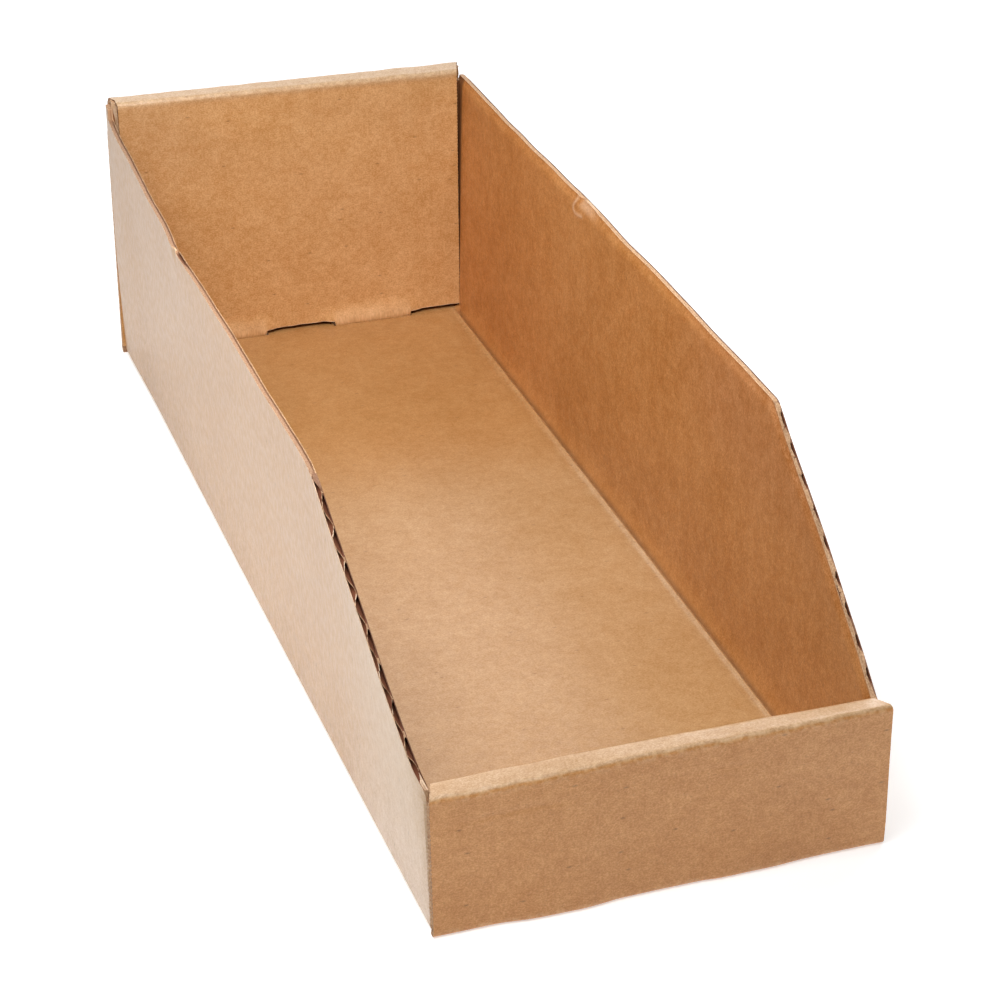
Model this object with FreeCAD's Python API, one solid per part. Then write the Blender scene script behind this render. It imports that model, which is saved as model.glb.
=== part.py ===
import FreeCAD, Part
import math
import os

V = FreeCAD.Vector

# Open-fronted bin box, die-cut and folded from one sheet of single-wall corrugated board.
# Millimetres. X across, Y from the low front to the high back, Z up.
# The box stands on Z = 0 and is centred on X = 0 and Y = 0.

# ---- overall sizes (6 x 18 x 4 1/2 in bin) ----
WIDTH = 152.4          # across the outer faces of the side walls
LENGTH = 457.2         # across the outer faces of the end panels
BACK_H = 115.0         # top of the back roll-over
SIDE_H = 109.5         # level top edge of the side walls
FRONT_H = 50.8         # top of the front roll-over
SLOPE_TOP_Y = 108.5    # from the front face back to where the side's level edge begins
SLOPE_FOOT_Z = 51.0    # height of the sloped edge where it meets the front panel

# ---- corrugated board ----
BOARD = 3.0            # B-flute, outside of liner to outside of liner
LINER = 0.3            # each flat facing; the wavy medium between them is about 0.25 thick
PITCH = 6.3            # flute crest to flute crest
# Half outline of one open flute channel, from its liner up to the crest of the wavy medium:
# distance from the channel's centre line, height above the outer face of its own liner.
CHANNEL = ((2.57, 0.30), (1.99, 0.93), (1.09, 1.85), (0.0, 2.45))
LAYER_GAP = 0.3        # slack between layers that lie against each other
EDGE_LAND = 0.55       # crushed land along a cut edge that runs with the flutes
FOLD_LAND = 1.2        # crushed land beside a crease

# ---- folds ----
FLOOR_FOLD_R = 2.7     # outside radius of the folds round the floor
CORNER_FOLD_R = 1.4    # outside radius of the upright folds between side walls and corner flaps
BEAD = 1.5             # the inner liner's bead along the floor creases
ROLL = 3 * BOARD + 2 * LAYER_GAP   # depth of a roll-over: outer panel, corner flap, inner panel
ROLL_R = 2.2           # outside radius of the roll-over's two creases

# ---- inner end panels, tabs and slots ----
INNER_HALF = 72.6      # half width of an inner end panel
TAB_W = 35.0           # each locking tab
TAB_MID = 32.7         # centre of each tab from X = 0
NOTCH_Z = 5.2          # lower edge of the inner panel between its tabs
TAB_END_Z = 0.4        # end of a tab, just inside the floor slot
SLOT_SLACK = 0.35      # slack round a tab in its slot
FLAP_LEN = 60.0        # corner flap, along X past the side wall's inner face
FLAP_CLEAR = 0.6       # below a corner flap

HW = WIDTH / 2.0
HL = LENGTH / 2.0
HALF_PITCH = PITCH / 2.0


def poly(points):
    return Part.Wire(Part.makePolygon(points + [points[0]]))


def box(x0, x1, y0, y1, z0, z1):
    return Part.makeBox(x1 - x0, y1 - y0, z1 - z0, V(x0, y0, z0))


def prism(points, direction):
    return Part.Face(poly(points)).extrude(direction)


def fluted(origin, across, normal, along, width, length, land_low, land_high):
    """One flat panel of the board: `width` across the flutes, BOARD thick along `normal`,
    `length` along the flutes. Its outer liner is at the origin's side of `normal`.
    Every half pitch holds one open flute channel, alternately on the two liners."""
    def at(u, n):
        return origin + across * u + normal * n

    outline = poly([at(0, 0), at(width, 0), at(width, BOARD), at(0, BOARD)])
    wires = [outline]
    room = width - land_low - land_high - 2 * CHANNEL[0][0]
    count = int(math.floor(room / HALF_PITCH)) + 1
    start = land_low + CHANNEL[0][0] + (room - (count - 1) * HALF_PITCH) / 2.0
    for i in range(count):
        c = start + i * HALF_PITCH
        right = [(c + u, n) for u, n in CHANNEL]
        left = [(c - u, n) for u, n in reversed(CHANNEL[:-1])]
        pts = [at(u, n if i % 2 == 0 else BOARD - n) for u, n in right + left]
        wires.append(poly(pts))
    face = Part.Face(wires)
    if not face.isValid():
        face.validate()
    return face.extrude(along * length)


def right_angle_fold(centre, toward_a, toward_b, along, length, radius):
    """Crushed board of a right-angle fold. `centre` is the fold's inner corner, `toward_a` and
    `toward_b` point through the board's thickness of its two panels."""
    a = centre + toward_a * BOARD
    b = centre + toward_b * BOARD
    a2 = a + toward_b * (BOARD - radius)
    b2 = b + toward_a * (BOARD - radius)
    hub = centre + (toward_a + toward_b) * (BOARD - radius)
    m = hub + (toward_a + toward_b) * (radius / math.sqrt(2.0))
    wire = Part.Wire([Part.makeLine(centre, a), Part.makeLine(a, a2), Part.Arc(a2, m, b2).toShape(),
                      Part.makeLine(b2, b), Part.makeLine(b, centre)])
    return Part.Face(wire).extrude(along * length)


X, Y, Z = V(1, 0, 0), V(0, 1, 0), V(0, 0, 1)


def floor_panel():
    """The floor between its four creases, with the four slots that take the tabs."""
    panel = fluted(V(-HW + BOARD, -HL + BOARD, 0), X, Z, Y,
                   WIDTH - 2 * BOARD, LENGTH - 2 * BOARD, FOLD_LAND, FOLD_LAND)
    cuts = []
    for end in (-1, 1):
        y_in = end * (HL - ROLL + BOARD + SLOT_SLACK)
        y_out = end * (HL - ROLL - SLOT_SLACK)
        y0, y1 = min(y_in, y_out), max(y_in, y_out)
        for mid in (-TAB_MID, TAB_MID):
            cuts.append(box(mid - TAB_W / 2 - SLOT_SLACK, mid + TAB_W / 2 + SLOT_SLACK, y0, y1, -1, BOARD + 1))
    return panel.cut(cuts)


def side_wall(side):
    """One side wall with its floor fold, the floor crease's bead, and the vertical folds at both ends."""
    outer_x = side * HW
    inward = X * (-side)
    y0 = -HL + BOARD + LAYER_GAP
    y1 = HL - BOARD - LAYER_GAP
    parts = []
    # wall, outer liner outside, flutes along Y
    parts.append(fluted(V(outer_x, y0 + BOARD, BOARD), Z, inward, Y,
                        SIDE_H - BOARD, (y1 - y0) - 2 * BOARD, FOLD_LAND, EDGE_LAND))
    # fold from the floor up to the wall
    parts.append(right_angle_fold(V(outer_x - side * BOARD, y0, BOARD), X * side, Z * -1, Y, y1 - y0, FLOOR_FOLD_R))
    # bead of the inner liner along the floor crease, between the inner end panels
    c = V(outer_x - side * BOARD, -HL + ROLL + 0.6, BOARD)
    a = c + inward * BEAD
    b = c + Z * BEAD
    m = c + (inward + Z) * (BEAD * 0.82)
    back = c - inward * 0.4 - Z * 0.4
    wire = Part.Wire([Part.makeLine(V(a.x, a.y, a.z), V(a.x, a.y, a.z - 0.2)),
                      Part.makeLine(V(a.x, a.y, a.z - 0.2), V(back.x, a.y, a.z - 0.2)),
                      Part.makeLine(V(back.x, a.y, a.z - 0.2), V(back.x, a.y, b.z)),
                      Part.makeLine(V(back.x, a.y, b.z), b),
                      Part.Arc(b, m, a).toShape()])
    parts.append(Part.Face(wire).extrude(Y * (LENGTH - 2 * ROLL - 1.2)))
    # vertical folds where the wall turns into its corner flaps
    front_corner = V(outer_x - side * BOARD, y0 + BOARD, BOARD)
    back_corner = V(outer_x - side * BOARD, y1 - BOARD, BOARD)
    parts.append(right_angle_fold(front_corner, X * side, Y * -1, Z, SIDE_H - BOARD, CORNER_FOLD_R))
    parts.append(right_angle_fold(back_corner, X * side, Y, Z, BACK_H - BOARD - LAYER_GAP - BOARD, CORNER_FOLD_R))
    # the wall's back end rises under the back roll-over
    xa, xb = sorted((outer_x, outer_x - side * BOARD))
    parts.append(box(xa, xb, HL - ROLL, y1 - BOARD, SIDE_H, BACK_H - BOARD - LAYER_GAP))
    wall = parts[0].multiFuse(parts[1:])
    # the steep front slope
    m_slope = (SIDE_H - SLOPE_FOOT_Z) / (SLOPE_TOP_Y - (BOARD + LAYER_GAP))
    far = BOARD * 4
    ya, za = -HL + BOARD + LAYER_GAP - far, SLOPE_FOOT_Z - m_slope * far
    yb, zb = -HL + SLOPE_TOP_Y, SIDE_H
    over = prism([V(-HW - 5, ya, za), V(-HW - 5, yb, zb), V(-HW - 5, yb, SIDE_H + 20), V(-HW - 5, ya, SIDE_H + 20)],
                 X * (WIDTH + 10))
    # the crushed, tapered end of the wall beside the front roll-over
    g = LAYER_GAP
    t0 = (HW - INNER_HALF) * (BOARD / ROLL)
    p0 = V(side * (HW - t0 + g), -HL + BOARD, FRONT_H - BOARD - g)
    p1 = V(side * (INNER_HALF + g), -HL + ROLL, FRONT_H - BOARD - g)
    p2 = V(side * (INNER_HALF + g), -HL + ROLL + g, FRONT_H - BOARD - g)
    p3 = V(side * (HW - BOARD - 2), -HL + ROLL + g, FRONT_H - BOARD - g)
    p4 = V(side * (HW - BOARD - 2), -HL + BOARD, FRONT_H - BOARD - g)
    taper = prism([p0, p1, p2, p3, p4], Z * (BOARD + 8))
    return wall.cut([over, taper])


def corner_flap(side, end, top_z):
    """A corner flap, folded in behind the outer end panel; its flutes run along X."""
    outer_y = end * (HL - BOARD - LAYER_GAP)
    inner_x = side * (HW - BOARD)
    z0 = BOARD + FLAP_CLEAR
    return fluted(V(inner_x, outer_y, z0), Z, Y * (-end), X * (-side),
                  top_z - z0, FLAP_LEN, EDGE_LAND, EDGE_LAND)


def end_panels(end, top_z):
    """Outer panel, double-creased roll-over and tabbed inner panel of one end."""
    outer_y = end * HL
    inward = Y * (-end)
    parts = []
    # fold from the floor up to the outer panel, and the outer panel
    corner = V(-HW, outer_y, BOARD) + inward * BOARD
    parts.append(right_angle_fold(corner, Y * end, Z * -1, X, WIDTH, FLOOR_FOLD_R))
    parts.append(fluted(V(-HW, outer_y, BOARD), X, inward, Z,
                        WIDTH, top_z - 2 * BOARD, EDGE_LAND, EDGE_LAND))
    # roll-over: two creases with a flat strip between, narrowing to the inner panel's width
    z0, z1 = top_z - BOARD, top_z
    def at(d, z):
        return V(-HW, outer_y, z) + inward * d
    r = ROLL_R
    k = r * (1 - 1 / math.sqrt(2.0))
    wire = Part.Wire([Part.makeLine(at(0, z0), at(0, z1 - r)),
                      Part.Arc(at(0, z1 - r), at(k, z1 - k), at(r, z1)).toShape(),
                      Part.makeLine(at(r, z1), at(ROLL - r, z1)),
                      Part.Arc(at(ROLL - r, z1), at(ROLL - k, z1 - k), at(ROLL, z1 - r)).toShape(),
                      Part.makeLine(at(ROLL, z1 - r), at(ROLL, z0)),
                      Part.makeLine(at(ROLL, z0), at(0, z0))])
    strip = Part.Face(wire).extrude(X * WIDTH)
    plan = prism([V(-HW, outer_y, z0 - 1), V(HW, outer_y, z0 - 1),
                  V(INNER_HALF, outer_y - end * ROLL, z0 - 1), V(-INNER_HALF, outer_y - end * ROLL, z0 - 1)],
                 Z * (BOARD + 2))
    parts.append(strip.common(plan))
    # inner panel down to its tabs
    inner = fluted(V(-INNER_HALF, outer_y - end * ROLL, TAB_END_Z), X, Y * end, Z,
                   2 * INNER_HALF, top_z - BOARD - TAB_END_Z, EDGE_LAND, EDGE_LAND)
    ya, yb = sorted((outer_y - end * (ROLL + 1), outer_y - end * (ROLL - BOARD - 0.2)))
    half_tab = TAB_W / 2.0
    notches = [box(-INNER_HALF - 1, -TAB_MID - half_tab, ya, yb, -1, NOTCH_Z),
               box(-TAB_MID + half_tab, TAB_MID - half_tab, ya, yb, -1, NOTCH_Z),
               box(TAB_MID + half_tab, INNER_HALF + 1, ya, yb, -1, NOTCH_Z)]
    parts.append(inner.cut(notches))
    return parts[0].multiFuse(parts[1:])


pieces = [floor_panel()]
pieces += end_panels(-1, FRONT_H).Solids
pieces += end_panels(1, BACK_H).Solids
for side in (-1, 1):
    pieces += side_wall(side).Solids
    pieces.append(corner_flap(side, -1, FRONT_H - BOARD - LAYER_GAP))
    pieces.append(corner_flap(side, 1, BACK_H - BOARD - LAYER_GAP))

blank = pieces[0].multiFuse(pieces[1:]).removeSplitter()
if len(blank.Solids) != 1 or not blank.isValid():
    raise ValueError("the folded blank is one valid solid: found %d" % len(blank.Solids))
bin_box = blank.Solids[0]
print("faces", len(bin_box.Faces), "volume %.0f mm3" % bin_box.Volume, bin_box.BoundBox)

os.makedirs("parts", exist_ok=True)
bin_box.exportStep("parts/bin_box.step")
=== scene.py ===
import bpy
import math
import numpy as np
from mathutils import Matrix, Vector
from mathutils.geometry import delaunay_2d_cdt


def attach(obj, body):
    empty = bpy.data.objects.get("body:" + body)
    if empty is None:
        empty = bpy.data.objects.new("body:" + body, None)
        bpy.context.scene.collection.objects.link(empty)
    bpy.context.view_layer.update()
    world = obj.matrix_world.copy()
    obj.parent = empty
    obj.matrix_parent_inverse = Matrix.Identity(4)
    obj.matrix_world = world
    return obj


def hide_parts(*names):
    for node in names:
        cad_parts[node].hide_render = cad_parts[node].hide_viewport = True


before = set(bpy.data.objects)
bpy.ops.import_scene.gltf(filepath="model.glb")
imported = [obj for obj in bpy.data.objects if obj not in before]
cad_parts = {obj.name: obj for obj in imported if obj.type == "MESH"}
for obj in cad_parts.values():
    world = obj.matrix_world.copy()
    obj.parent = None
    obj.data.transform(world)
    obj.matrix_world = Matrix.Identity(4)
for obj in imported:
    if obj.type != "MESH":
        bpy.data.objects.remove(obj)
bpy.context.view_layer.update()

# Corrugated bin box, the looks of its one folded blank. Millimetres here, metres in Blender.
HW, HL = 76.2, 228.6            # half width, half length over the outer faces
BOARD = 3.0
ROLL = 9.6                      # depth of a roll-over
SIDE_H, FRONT_H, BACK_H = 109.5, 50.8, 115.0
SLOPE_Y = -HL + 108.5           # where the side's level edge begins
END_Y = HL - 3.3                # the side walls stop just inside the outer end panels
FOOT = {-1: 51.0, 1: 47.2}      # foot of the sloped edge, left and right
FLUTE = 6.3
TAB_IN, TAB_OUT = 15.2, 50.2    # the two tabs of an inner end panel run between these, left and right
FOLD_R = 1.9                    # outer liner round the end folds

rng = np.random.default_rng(41)


# ---------------------------------------------------------------- small helpers
def smooth(t):
    t = np.clip(t, 0.0, 1.0)
    return t * t * (3 - 2 * t)


def table(pairs, sigma=2.5, step=0.5):
    """A piecewise table as a smooth function."""
    xs, ys = np.array(sorted(pairs), float).T
    grid = np.arange(xs[0] - 4 * sigma, xs[-1] + 4 * sigma + step, step)
    raw = np.interp(grid, xs, ys)
    n = int(3 * sigma / step)
    kern = np.exp(-0.5 * (np.arange(-n, n + 1) * step / sigma) ** 2)
    kern /= kern.sum()
    out = np.convolve(np.pad(raw, n, mode="edge"), kern, mode="valid")
    return lambda v: np.interp(v, grid, out)


class Wave:
    """Smooth seeded noise of one or two coordinates, about -1 to 1."""
    def __init__(self, seed, length, count=9, dims=1, spread=3.0):
        r = np.random.default_rng(seed)
        k = 2 * math.pi / (length * np.exp(r.uniform(-math.log(spread) / 2, math.log(spread) / 2, count)))
        ang = r.uniform(0, 2 * math.pi, count)
        self.k = np.stack([k * np.cos(ang), k * np.sin(ang)], 1) if dims == 2 else np.stack([k, k * 0], 1)
        self.p = r.uniform(0, 2 * math.pi, count)
        self.a = 1.0 / math.sqrt(count)

    def __call__(self, u, v=0.0):
        u, v = np.broadcast_arrays(np.asarray(u, float), np.asarray(v, float))
        out = np.zeros(u.shape)
        for (a, b), p in zip(self.k, self.p):
            out += np.sin(a * u + b * v + p)
        return out * self.a


# ---------------------------------------------------------------- how the made-up bin departs from a straight one
# outward lean of each side wall's free edge, by distance along the bin
LEAN = {
    -1: table([(-229, 0.1), (-225.5, 0.35), (-222.5, 1.7), (-219, 2.3), (-211, 2.9), (-204, 3.3), (-188, 4.1),
               (-172, 4.6), (-157, 5.0), (-140, 5.6), (-128, 5.9), (-119, 6.0), (-98, 5.8), (-77, 6.1), (-56, 6.4),
               (-23, 6.25), (0, 6.3), (25, 6.7), (50, 6.9), (77, 6.9), (103, 6.3), (131, 5.6), (161, 4.9),
               (191, 4.0), (207, 3.3), (218, 2.5), (226, 2.15)]),
    1: table([(-229, -1.0), (-218, -1.1), (-213.5, -0.6), (-209, 0.0), (-199, 0.6), (-190, 1.1), (-180, 1.8),
              (-170, 2.4), (-160, 2.85), (-150, 3.2), (-139, 3.5), (-129, 3.95), (-117, 4.7), (-108, 4.95),
              (-86, 4.8), (-64, 4.95), (-37, 5.2), (-22, 5.1), (7, 4.8), (38, 4.45), (62, 4.35), (98, 3.95),
              (116, 3.35), (134, 3.0), (171, 2.75), (197, 2.6), (214, 2.6), (220, 2.5), (226, 2.3)]),
}
# the lower front fold: how far the front face stands forward (-) or back (+) at its foot
FRONT_FOOT = table([(-80, -2.3), (-75, -2.3), (-65, -2.1), (-56, -1.8), (-52, -2.0), (-48, -2.6), (-43, -2.95),
                    (-36, -2.95), (-32, -2.8), (-29, -2.9), (-25, -2.65), (-20, -2.0), (-15, -1.2), (-9, -0.95),
                    (-2, -0.65), (5, -0.5), (14, -0.3), (18, -0.8), (22, -0.85), (28, -0.6), (36, -0.45), (40, -0.2),
                    (44, 0.25), (48, 0.6), (55, 0.95), (62, 1.15), (70, 1.35), (76, 1.3), (80, 1.3)], sigma=1.2)
# soft buckles of the free edges, about a third of the way from the back
BUCKLE = {-1: table([(98, 0), (90, 0.25), (82, 0.7), (76, 0.85), (71, 0.72), (64, 0.6), (56, 0.3), (46, 0.0)], sigma=1.6),
          1: table([(98, 0), (87, 0.35), (81, 0.72), (77, 0.8), (70, 0.68), (64, 0.55), (59, 0.4), (54, 0.25), (45, 0.0)],
                   sigma=1.2)}
FRONT_TOP_OUT = table([(-80, -1.8), (-76, -1.7), (-40, -0.6), (-2, 0.6), (40, 1.35), (76, 2.0), (80, 2.0)], sigma=8)
FRONT_TOP_IN = table([(-80, -1.0), (-76, -1.0), (-40, 0.0), (-2, 0.8), (40, 0.95), (80, 0.9)], sigma=8)
BACK_TOP_OUT = table([(-80, 1.3), (80, -0.4)], sigma=8)
BACK_TOP_IN = table([(-80, 1.1), (80, -1.5)], sigma=8)
PANEL = {name: Wave(seed, length, dims=2) for name, seed, length in
         (("left", 11, 70), ("right", 12, 70), ("floor", 13, 85), ("front", 14, 60), ("back", 15, 75), ("inner", 16, 60))}


def wall_top(side, y):
    m = (SIDE_H - FOOT[side]) / (SLOPE_Y + END_Y)
    return np.minimum(SIDE_H, FOOT[side] + m * (np.asarray(y, float) + END_Y))


def slope_y(side, z):
    """Where the sloped cut stands at height z; below its foot the wall runs on to its front fold."""
    m = (SIDE_H - FOOT[side]) / (SLOPE_Y + END_Y)
    return np.where(z > FOOT[side], -END_Y + (z - FOOT[side]) / m, -END_Y)


REAR = table([(0, 0.5), (12, 0.85), (30, 1.15), (50, 1.2), (70, 0.85), (90, 0.45), (105, 0.15), (115, 0.0)], sigma=5)
CRUSH = {-1: (0.72, 0.85), 1: (0.95, 1.00)}      # on the slope and on the level edge
HOOK = np.array([(75.2, 110.2), (76.9, 107.4), (78.9, 104.6), (79.0, 103.2), (76.8, 102.3), (73.0, 102.6), (68.6, 103.6)])


def hook(y, z):
    """Distance to the curved crease in the right wall's inner liner."""
    best = np.full(np.shape(y), 99.0)
    for (a, b), (c, d) in zip(HOOK[:-1], HOOK[1:]):
        t = np.clip(((y - a) * (c - a) + (z - b) * (d - b)) / ((c - a) ** 2 + (d - b) ** 2), 0, 1)
        best = np.minimum(best, np.hypot(y - a - t * (c - a), z - b - t * (d - b)))
    return best


def warp(P, part):
    """Moves undeformed points (N, 3) of a part to where the made-up bin has them."""
    P = np.asarray(P, float)
    x, y, z = P[:, 0].copy(), P[:, 1].copy(), P[:, 2].copy()
    X, Y, Z = x.copy(), y.copy(), z.copy()
    ends = smooth((HL - 4 - np.abs(y)) / 30.0)
    if part in ("u", "flap"):
        for side in (-1, 1):
            # weight: 1 on the wall, 0 on the floor, turning over in the fold
            w = smooth((side * x - 66.0) / 6.0)
            top = wall_top(side, y)
            r = np.clip(z / top, 0, 1.06)
            lean = LEAN[side](y) * r ** 1.2
            lean = lean + BUCKLE[side](y) * np.clip((z - 66) / 43.5, 0, 1) ** 2
            depth = np.clip((HW - side * x) / BOARD, 0, 1)       # 0 outer face, 1 inner face
            if side < 0:
                # where it buckled, the left edge is nipped thin
                nip = np.exp(-((y - 73.6) / 3.0) ** 2) * smooth((z - 104) / 5.5)
                lean = lean - nip * (1 - depth) * BOARD * 0.26 + nip * depth * 0.25
            else:
                # the right edge is crushed from the inside, and the liner is pushed up in a curved crease
                crush = smooth((75.5 - y) / 4.5) * smooth((y - 51.0) / 13.0) * smooth((z - 104.6) / 4.4)
                fold = np.exp(-(hook(y, z) / 0.75) ** 2)
                lean = lean + depth * (0.55 * crush - 0.22 * fold)
            # a die-cut edge is crushed thinner than the board
            level = smooth((y - SLOPE_Y + 10) / 14.0)
            e = np.maximum(top - z, 0) * (1.0 - 0.13 * (1 - level))
            thin = CRUSH[side][0] * (1 - level) + CRUSH[side][1] * level
            lean = lean + depth * thin * np.exp(-(e / 2.4) ** 2) * smooth((z - FOOT[side] + 3) / 3.0)
            foot_bow = 0.55 * np.sin(math.pi * np.clip((y + HL) / (2 * HL), 0, 1)) * np.clip(1 - z / 60, 0, 1)
            if side < 0:
                lean = lean + REAR(z) * smooth((y - 160) / 60.0)
            und = PANEL["left" if side < 0 else "right"](y, z) * 0.16 * ends * smooth(z / 12)
            X += side * w * (lean + foot_bow + und)
            # the corner between the level edge and the slope is a little rounded
            rad = 8.0 if side < 0 else 2.0
            m = (SIDE_H - FOOT[side]) / (SLOPE_Y + END_Y)
            t = np.abs(y - SLOPE_Y)
            Z -= w * np.where(t < rad, m * (rad - t) ** 2 / (4 * rad), 0) * smooth((z - 92) / 15)
            # the level edge isn't cut dead straight
            Z += w * 0.18 * Wave(21 + side, 46)(y) * smooth((z - 96) / 12) * ends
            # the back end of the wall rises under the roll-over
            up = smooth((y - 218.9) / 0.35) * np.clip((z - 101.0) / 8.5, 0, 1)
            Z += w * up * (4.6 if side < 0 else -0.1)
            # beside the front roll-over the wall's end is crushed to a wedge
            end_x = 73.0 + (-219.0 - y) / ROLL * 3.0
            pinch = w * smooth((-218.6 - y) / 1.0) * smooth((z - 46.9) / 0.4)
            s_now = side * X
            outer = side * X + depth * BOARD
            inner_new = np.maximum(side * X - (1 - depth) * BOARD + 0 * outer, end_x + 0.35)
            outer_new = np.maximum(outer, inner_new + 0.55)
            target = outer_new + (inner_new - outer_new) * depth
            X += side * pinch * (target - s_now)
    if part == "u":
        und = PANEL["floor"](x, y) * 0.10 + 0.10
        flat = smooth((66.0 - np.abs(x)) / 8.0)
        Z += flat * np.where(z > 1.5, und, 0) * ends
    if part in ("front", "u", "flap"):
        # the front face stands a little forward at its left foot and back at its right foot
        near = smooth((-150.0 - y) / 70.0)
        local = smooth((-205.0 - y) / 18.0)
        broad = -2.3 + (x + 76.2) * (3.6 / 152.4)
        Y += np.clip(1 - z / 50.0, 0, 1) * (near * broad + local * (FRONT_FOOT(x) - broad))
    if part in ("front", "back"):
        d = HL - np.abs(y)
        k = smooth(d / ROLL)
        if part == "front":
            rise = FRONT_TOP_OUT(x) * (1 - k) + FRONT_TOP_IN(x) * k
            Z += rise * np.clip(z / FRONT_H, 0, 1) ** 2
            outer = smooth((3.4 - d) / 3.0)
            Y -= PANEL["front"](x, z) * 0.20 * outer * smooth(z / 10)
            # the outer panel stands out a little past the right wall
            X += 0.45 * smooth((x - 64.0) / 11.0) * smooth((8.5 - d) / 4.0)
            # crease of the roll-over: wavy, and a little dented
            c = smooth((z - 46.5) / 3.5)
            Z += c * (0.22 * Wave(31, 17)(x) * (1 - k) + 0.10 * Wave(32, 25)(x) * k)
            Y += c * (1 - k) * 0.22 * Wave(33, 14)(x)
        else:
            rise = BACK_TOP_OUT(x) * (1 - k) + BACK_TOP_IN(x) * k
            Z += rise * np.clip(z / BACK_H, 0, 1) ** 2
            inner = smooth((d - 5.5) / 3.0)
            Y += PANEL["inner"](x, z) * 0.22 * inner * smooth(z / 14) * smooth((112 - z) / 14)
            outer = smooth((3.4 - d) / 3.0)
            Y += PANEL["back"](x, z) * 0.22 * outer * smooth(z / 10) * smooth((113 - z) / 14)
            c = smooth((z - 110.5) / 4)
            Z += c * 0.12 * Wave(34, 21)(x)
            # at the left the outer panel stands proud of the wall beside it
            proud = 1 - 0.35 * smooth((z - 98) / 8) - 0.40 * smooth((z - 109) / 5.5)
            X -= 1.65 * smooth((-x - 66.0) / 9.5) * smooth((5.0 - d) / 1.6) * proud
            # and the inner panel comes nearer to the leaning wall towards its top
            X -= 1.0 * smooth((-x - 58.0) / 16.0) * smooth((d - 5.0) / 3.0) * smooth((z - 70) / 38.0)
    Z = np.maximum(Z, 0.02)
    return np.stack([X, Y, Z], 1)


# ---------------------------------------------------------------- mesh store
class Store:
    def __init__(self):
        self.points, self.faces, self.flat, self.kind, self.wear, self.tint = [], [], [], [], [], []
        self.count, self.now, self.painted_light = 0, None, []

    def add(self, P):
        """Adds deformed points (..., 3) and gives their numbers."""
        P = np.asarray(P, float)
        n = int(np.prod(P.shape[:-1]))
        self.points.append(P.reshape(-1, 3))
        idx = np.arange(self.count, self.count + n).reshape(P.shape[:-1])
        self.count += n
        return idx

    here = None

    def face(self, idx, flat, kind, wear=None, tint=None):
        self.faces.append(tuple(int(i) for i in idx))
        self.flat.extend(tuple(float(c) for c in f) for f in flat)
        self.kind.extend([kind] * len(idx))
        self.wear.extend([0.0] * len(idx) if wear is None else [float(w) for w in wear])
        self.tint.extend([0.0] * len(idx) if tint is None else [float(w) for w in tint])
        self.painted_light.extend([(1.0, 1.0, 1.0)] * len(idx) if self.here is None else [tuple(map(float, c)) for c in self.here])
        self.here = None

    def grid(self, idx, flat, kind, wear=None, skip=None, tint=None):
        m, k = idx.shape
        for a in range(m - 1):
            for b in range(k - 1):
                if skip is not None and skip[a, b]:
                    continue
                q = ((a, b), (a + 1, b), (a + 1, b + 1), (a, b + 1))
                self.here = None if self.now is None else [self.now[c] for c in q]
                self.face([idx[c] for c in q], [flat[c] for c in q], kind,
                          None if wear is None else [wear[c] for c in q], None if tint is None else [tint[c] for c in q])


def painted_light(part, P, outer):
    """Painted light and shade: a factor for red, green and blue at each point, making panels lighter, darker, paler or
    redder as the light falls on them.
    """
    x, y, z = P[..., 0], P[..., 1], P[..., 2]
    res = np.ones(P.shape)

    def blend(w, colour):
        res[:] = res * (1 - w[..., None]) + np.array(colour) * w[..., None]
    # inside: floor paler and bluer, walls redder, the right wall's back brighter and its upper front darker: painted
    # light and shade
    if part == "u" and not outer:
        wall = smooth((np.abs(x) - 70.0) / 2.4)
        blend(1 - wall, (0.955, 1.09, 1.36))
        blend((1 - wall) * smooth((y - 30) / 80.0), (0.965, 0.98, 1.00))
        blend((1 - wall) * smooth((-60 - y) / 90.0), (0.93, 1.03, 1.17))
        blend(wall, (1.03, 0.90, 0.78))
        blend(wall * smooth((y - 40) / 130.0), (1.16, 0.96, 0.80))
        blend(wall * smooth((-10 - y) / 80.0) * smooth((z - 50) / 45.0), (0.94, 0.80, 0.80))
    # outside: the left wall a touch darker, and whitened towards its front and foot: painted shade and a painted
    # reflection of the bright floor
    if part == "u" and outer:
        left = smooth((-x - 70.0) / 4.0)
        blend(left, (0.96, 0.96, 0.94))
        blend(smooth((-120 - y) / 95.0) * left, (1.09, 1.35, 1.93))
        blend(smooth((-120 - y) / 95.0) * left * smooth((42 - z) / 42.0), (1.22, 1.60, 2.70))
    # the roll-over's top strip paler and bluer, the face below redder: painted light
    if part == "front":
        d = HL + y
        top = smooth((z - FRONT_H + 1.1) / 0.9)
        blend(1 - top, (1.115, 0.93, 0.725))
        blend(top, (0.93, 1.03, 1.26))
    # the back lighter, most low down, a touch darker at its upper left, its top strip paler and bluer: painted light
    # and shade
    if part == "back":
        top = smooth((z - BACK_H + 4.2) / 4.6)
        blend(1 - top, (1.12, 1.12, 1.10))
        blend((1 - top) * smooth((60 - z) / 50.0), (1.17, 1.16, 1.12))
        blend((1 - top) * smooth((-x - 15) / 55.0) * smooth((z - 50) / 45.0), (0.97, 0.97, 0.98))
        blend(top, (0.88, 1.02, 1.32))
    return res


store = Store()
FR = np.array([0.06, 0.13, 0.22, 0.36, 0.50, 0.62, 0.72, 0.80, 0.88, 0.94])
T = len(FR)


def flat3(U, w):
    return np.concatenate([U, np.full(U.shape[:-1] + (1,), float(w))], -1)


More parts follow.
